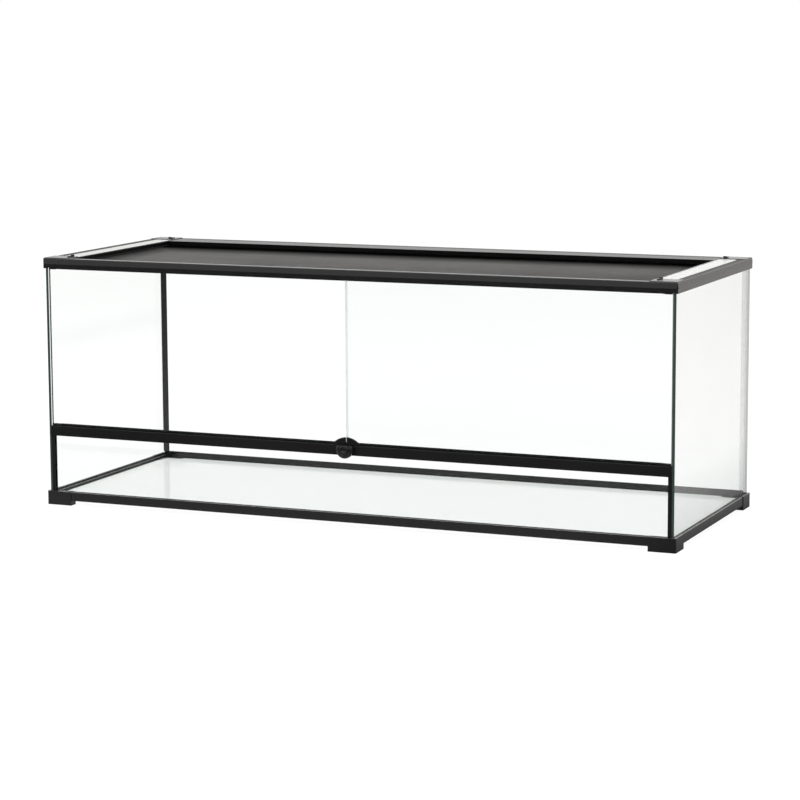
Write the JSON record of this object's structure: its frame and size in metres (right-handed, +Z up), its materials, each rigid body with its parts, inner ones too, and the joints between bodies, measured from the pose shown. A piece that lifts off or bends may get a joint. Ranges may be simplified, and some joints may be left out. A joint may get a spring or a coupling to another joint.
{
  "type": "reptile terrarium",
  "caption": "Long glass reptile terrarium with a black frame, side-hinged front doors over a window pane, a turn lock, a lift-off mesh lid and raised corner feet.",
  "frame": {"origin": "centre of the footprint, on the surface that the feet stand on", "axes": "+X to the right seen from the front, +Y from the front doors to the back, +Z up"},
  "size_m": [1.22, 0.4712, 0.4649],
  "materials": {
    "frame": "satin black moulded and extruded plastic",
    "fittings": "satin black moulded plastic",
    "glass": "clear float glass with green edges",
    "seal": "matte black soft seal",
    "pale_strip": "glossy off-white plastic",
    "mesh": "black powder-coated woven wire",
    "steel": "plain steel"
  },
  "bodies": {
    "tank": {"foot_front_left": "frame", "foot_front_right": "frame", "foot_back_left": "frame", "foot_back_right": "frame", "base_rail_front": "frame", "base_rail_back": "frame", "base_rail_left": "frame", "base_rail_right": "frame", "floor_glass": "glass", "back_glass": "glass", "side_glass_left": "glass", "side_glass_right": "glass", "corner_seal_left": "seal", "corner_seal_right": "seal", "window_glass": "glass", "window_channel_left": "frame", "window_channel_right": "frame", "crossbar": "frame", "top_corner_front_left": "frame", "top_corner_front_right": "frame", "top_corner_back_left": "frame", "top_corner_back_right": "frame", "top_rail_front": "frame", "top_rail_back": "frame", "top_rail_left": "frame", "top_rail_right": "frame", "side_strip_left": "pale_strip", "side_strip_right": "pale_strip"},
    "left_door": {"door_glass_left": "glass", "hinge_top_left": "fittings", "hinge_bottom_left": "fittings", "door_catch_left": "fittings"},
    "right_door": {"door_glass_right": "glass", "hinge_top_right": "fittings", "hinge_bottom_right": "fittings", "door_catch_right": "fittings"},
    "lid": {"lid_bar_front": "frame", "lid_bar_back": "frame", "lid_bar_left": "frame", "lid_bar_right": "frame", "lid_mesh": "mesh"},
    "lock": {"lock_knob": "fittings", "lock_washer": "steel", "lock_screw": "steel"},
    "latch_front_left": {"lid_latch_front_left": "fittings"},
    "latch_front_right": {"lid_latch_front_right": "fittings"},
    "latch_back_left": {"lid_latch_back_left": "fittings"},
    "latch_back_right": {"lid_latch_back_right": "fittings"}
  },
  "joints": [
    {"name": "left_door_hinge", "type": "hinge", "parent": "tank", "child": "left_door", "pos_m": [-0.594, -0.2225, 0.15], "axis": [0, 0, -1], "range_deg": [0, 110]},
    {"name": "right_door_hinge", "type": "hinge", "parent": "tank", "child": "right_door", "pos_m": [0.594, -0.2225, 0.15], "axis": [0, 0, 1], "range_deg": [0, 110]},
    {"name": "lid_lift", "type": "slide", "parent": "tank", "child": "lid", "axis": [0, 0, 1], "range_m": [0, 0.12]},
    {"name": "lock_turn", "type": "hinge", "parent": "tank", "child": "lock", "pos_m": [0, -0.229, 0.1415], "axis": [0, -1, 0], "range_deg": [0, 180]},
    {"name": "latch_front_left_turn", "type": "hinge", "parent": "tank", "child": "latch_front_left", "pos_m": [-0.567, -0.192, 0.4615], "axis": [0, 0, 1], "range_deg": [0, 90]},
    {"name": "latch_front_right_turn", "type": "hinge", "parent": "tank", "child": "latch_front_right", "pos_m": [0.567, -0.192, 0.4615], "axis": [0, 0, -1], "range_deg": [0, 90]},
    {"name": "latch_back_left_turn", "type": "hinge", "parent": "tank", "child": "latch_back_left", "pos_m": [-0.567, 0.192, 0.4615], "axis": [0, 0, -1], "range_deg": [0, 90]},
    {"name": "latch_back_right_turn", "type": "hinge", "parent": "tank", "child": "latch_back_right", "pos_m": [0.567, 0.192, 0.4615], "axis": [0, 0, 1], "range_deg": [0, 90]}
  ]
}
